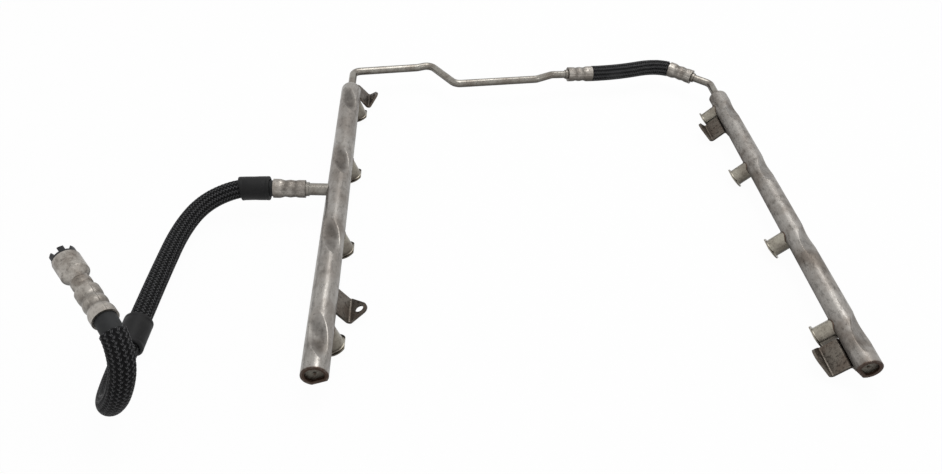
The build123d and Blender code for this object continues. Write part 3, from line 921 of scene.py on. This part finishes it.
class RAIL_OT_rails(bpy.types.Operator):
    """Finish the rail tubes, cups, plugs and brackets, and add the braze round each cup"""

    bl_idname = "rail.rails"
    bl_label = "Rails"

    def execute(self, context):
        steel = settings()[1]
        # Cups and brackets get strong painted shade in joints and on faces turned down.
        cup = steel_material(
            "cup_steel",
            steel.cup,
            stain=0.55,
            pits=0.3,
            rough=0.2,
            shade=0.9,
            under=0.9,
            patch=90,
            reach=0.012,
            open=0.9,
        )
        bracket = steel_material(
            "bracket_steel",
            steel.bracket,
            stain=1.25,
            pits=1.0,
            rough=0.38,
            patch=75,
            bump=1.0,
            shade=0.95,
            under=0.85,
            reach=0.015,
            open=0.95,
        )
        look = {"stain": 0.4, "pits": 0.3, "rough": 0.42, "patch": 120, "bump": 0.8}
        braze = steel_material("braze", steel.braze, **look)
        for side in RAILS:
            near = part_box(f"{side}_rail_tube")[0].y
            # Each rail tube gets painted shade in joints, in its dents and on faces turned down, mixed
            # with patchy dirt.
            tube = steel_material(
                f"{side}_rail_steel",
                steel.steel,
                stain=0.55 if side == "left" else 0.75,
                pits=0.7,
                dents=0.3,
                dirt=0.6 if side == "left" else 0.22,
                blotch=110.0,
                marks=(tuple(rail_axis(side)[0]), (1, 0, 0), (0, 0, 1), 0, *DENT_SHADE_AND_DIRT),
                rough=0.33 if side == "left" else 0.43,
                patch=42,
                grain=700,
                stretch=(1, 0.4, 1),
                heated=(near - 0.0014, 0.0016),
                reach=0.006,
            )
            plug = steel_material(
                f"{side}_plug_steel",
                (0.3, 0.29, 0.25),
                stain=0.5,
                pits=0.6,
                rough=0.5,
                patch=120,
                heated=(near + 0.0004, 0.0012),
                reach=0.003,
            )
            dress(f"{side}_rail_tube", tube)
            dress(f"{side}_end_plug", plug)
            for place in ("near", "far"):
                dress(f"{side}_{place}_bracket", bracket)
            points, faces = [], []
            for index in range(CUP_COUNT):
                dress(f"{side}_injector_cup_{index + 1}", cup)
                more, quads = bead(cup_seam(side, index), BRAZE_RADIUS, seed=index)
                faces += [tuple(i + len(points) for i in quad) for quad in quads]
                points += more
            seams = mesh_piece(f"{side}_cup_braze", points, faces, braze)
        return {"FINISHED"}


def cross_axes(way):
    """Two directions square to a crimp's axis."""
    way = Vector(way).normalized()
    side = way.cross(Vector((0, 0, 1))).normalized()
    return side, way.cross(side)


class RAIL_OT_pipes(bpy.types.Operator):
    """Finish the crossover pipe, elbow, stub and crimps"""

    bl_idname = "rail.pipes"
    bl_label = "Pipes and crimps"

    def execute(self, context):
        steel = settings()[1]
        pipe = steel_material(
            "pipe_steel",
            steel.pipe,
            stain=0.6,
            pits=0.4,
            rough=0.24,
            patch=70,
            reach=0.006,
            open=0.9,
        )
        for node in ("crossover_pipe", "crossover_elbow", "feed_stub"):
            dress(node, pipe)
        route = feed_route()
        crimps = {
            "crossover_left_ferrule": level_way(LEFT_CRIMP_AIM),
            "crossover_right_ferrule": level_way(RIGHT_CRIMP_AIM),
            "feed_ferrule": (1, 0, 0),
            "feed_end_ferrule": tuple(route[-1] - route[-2]),
        }
        for node, way in crimps.items():
            side, up = cross_axes(way)
            # Each crimp gets painted shade, with some dirt, in its waists and joints.
            finish = steel_material(
                node + "_steel",
                steel.crimp,
                stain=0.55,
                pits=0.5,
                rough=0.34,
                patch=85,
                bump=0.6,
                reach=0.007,
                open=0.97,
                marks=(tuple(box_centre(node)), tuple(side), tuple(up), 8, *CRIMP_SHADE_AND_DIRT),
            )
            dress(node, finish)
        return {"FINISHED"}


class RAIL_OT_connector(bpy.types.Operator):
    """Finish the quick connector"""

    bl_idname = "rail.connector"
    bl_label = "Connector"

    def execute(self, context):
        steel = settings()[1]
        body = steel_material(
            "connector_steel",
            steel.crimp,
            stain=0.75,
            pits=0.6,
            rough=0.3,
            patch=80,
            bump=0.6,
            open=0.95,
            reach=0.009,
        )
        dress("connector_body", body)
        look = ((0.015, 0.015, 0.015), (0.05, 0.05, 0.05), 0.3, 300, 0.45, 0.2)
        dress("connector_seals", black_material("seal_rubber", *look))
        look = ((0.018, 0.018, 0.02), (0.08, 0.08, 0.08), 0.3, 220, 0.42, 0.25)
        plastic = black_material("retainer_plastic", *look)
        dress("connector_retainer", plastic)
        return {"FINISHED"}


class RAIL_OT_stage(bpy.types.Operator):
    """Set the floor, the surroundings and the lamps"""

    bl_idname = "rail.stage"
    bl_label = "Stage"

    def execute(self, context):
        levels = settings()[2]
        make_floor(levels)
        make_world(levels)
        make_lamp("overhead", (0.06, 0.3, 1.2), (0, 0, 0), (0.5, 1.2), levels.overhead)
        make_lamp("side", (1.1, -0.5, 0.9), (0, -0.1, 0), (0.35, 0.5), levels.side)
        context.scene.view_settings.view_transform = "Standard"
        return {"FINISHED"}


def background_mask(tree):
    """1 for rays that show the background itself: seen, reflected or through glass."""
    path = put(tree, "ShaderNodeLightPath").outputs
    shown = math(tree, "MAXIMUM", path["Is Camera Ray"], path["Is Glossy Ray"])
    return math(tree, "MAXIMUM", shown, path["Is Transmission Ray"])


def make_floor(levels):
    """Pale floor that shows white and keeps a soft shadow."""
    made, tree, shader = new_material("floor")
    place = put(tree, "ShaderNodeTexCoord").outputs["Object"]
    tone = ramp(tree, noise(tree, place, 6.0, 2), 0.0, 1.0)
    pale = blend(tree, math(tree, "MULTIPLY", tone, 0.04), rgba(levels.floor), (0.8, 0.8, 0.8, 1))
    tree.links.new(pale, shader.inputs["Base Color"])
    shader.inputs["Roughness"].default_value = 0.9
    shader.inputs["Specular IOR Level"].default_value = 0.1
    glow = put(tree, "ShaderNodeEmission", {"Color": (1, 1, 1, 1), "Strength": 1.0})
    share = math(tree, "MULTIPLY", background_mask(tree), 0.97)
    mix = put(tree, "ShaderNodeMixShader", {0: share, 1: shader.outputs[0], 2: glow.outputs[0]})
    tree.links.new(mix.outputs[0], tree.nodes["Material Output"].inputs["Surface"])
    half = FLOOR_HALF
    corners = [(-half, -half, 0), (half, -half, 0), (half, half, 0), (-half, half, 0)]
    mesh = bpy.data.meshes.new("floor")
    mesh.from_pydata(corners, [], [(0, 1, 2, 3)])
    mesh.materials.append(made)
    floor = bpy.data.objects.new("floor", mesh)
    floor.location.z = -0.1 * MM
    bpy.context.scene.collection.objects.link(floor)


def make_world(levels):
    """Plain surroundings that show white."""
    world = bpy.data.worlds.new("surroundings")
    world.use_nodes = True
    tree = world.node_tree
    light = tree.nodes["Background"]
    light.inputs["Color"].default_value = (1, 1, 1, 1)
    light.inputs["Strength"].default_value = levels.world
    white = put(tree, "ShaderNodeBackground", {"Color": (1, 1, 1, 1), "Strength": 1.0})
    mix = put(
        tree, "ShaderNodeMixShader", {0: background_mask(tree), 1: light.outputs[0], 2: white.outputs[0]}
    )
    tree.links.new(mix.outputs[0], tree.nodes["World Output"].inputs["Surface"])
    bpy.context.scene.world = world


def make_lamp(name, place, target, size, power):
    """Oblong soft lamp that faces a point."""
    data = bpy.data.lights.new(name, "AREA")
    data.shape = "RECTANGLE"
    data.size, data.size_y = size
    data.energy = power
    lamp = bpy.data.objects.new(name, data)
    lamp.location = place
    lamp.rotation_euler = (Vector(target) - Vector(place)).to_track_quat("-Z", "Y").to_euler()
    bpy.context.scene.collection.objects.link(lamp)


class RAIL_PT_panel(bpy.types.Panel):
    """Buttons for each group of pieces"""

    bl_label = "Fuel rail"
    bl_idname = "RAIL_PT_panel"
    bl_space_type = "VIEW_3D"
    bl_region_type = "UI"
    bl_category = "Fuel rail"

    def draw(self, context):
        for operator in OPERATORS:
            self.layout.operator(operator.bl_idname)
        for group in settings():
            box = self.layout.box()
            for name in group.__annotations__:
                box.prop(group, name)


GROUPS = {"rail_hose": HoseSizes, "rail_steel": SteelColours, "rail_stage": StageLevels}
OPERATORS = (
    RAIL_OT_camera,
    RAIL_OT_feed_hose,
    RAIL_OT_cross_sleeve,
    RAIL_OT_rails,
    RAIL_OT_pipes,
    RAIL_OT_connector,
    RAIL_OT_stage,
)


def register():
    """Register the settings, operators and panel."""
    for name, group in GROUPS.items():
        bpy.utils.register_class(group)
        setattr(bpy.types.Scene, name, PointerProperty(type=group))
    for item in (*OPERATORS, RAIL_PT_panel):
        bpy.utils.register_class(item)


def unregister():
    """Take the settings, operators and panel away."""
    for item in (RAIL_PT_panel, *reversed(OPERATORS)):
        bpy.utils.unregister_class(item)
    for name, group in GROUPS.items():
        delattr(bpy.types.Scene, name)
        bpy.utils.unregister_class(group)


def main():
    """Make everything in order."""
    register()
    bpy.ops.rail.camera()
    bpy.ops.rail.feed_hose()
    bpy.ops.rail.cross_sleeve()
    bpy.ops.rail.rails()
    bpy.ops.rail.pipes()
    bpy.ops.rail.connector()
    bpy.ops.rail.stage()


if __name__ == "__main__":
    main()
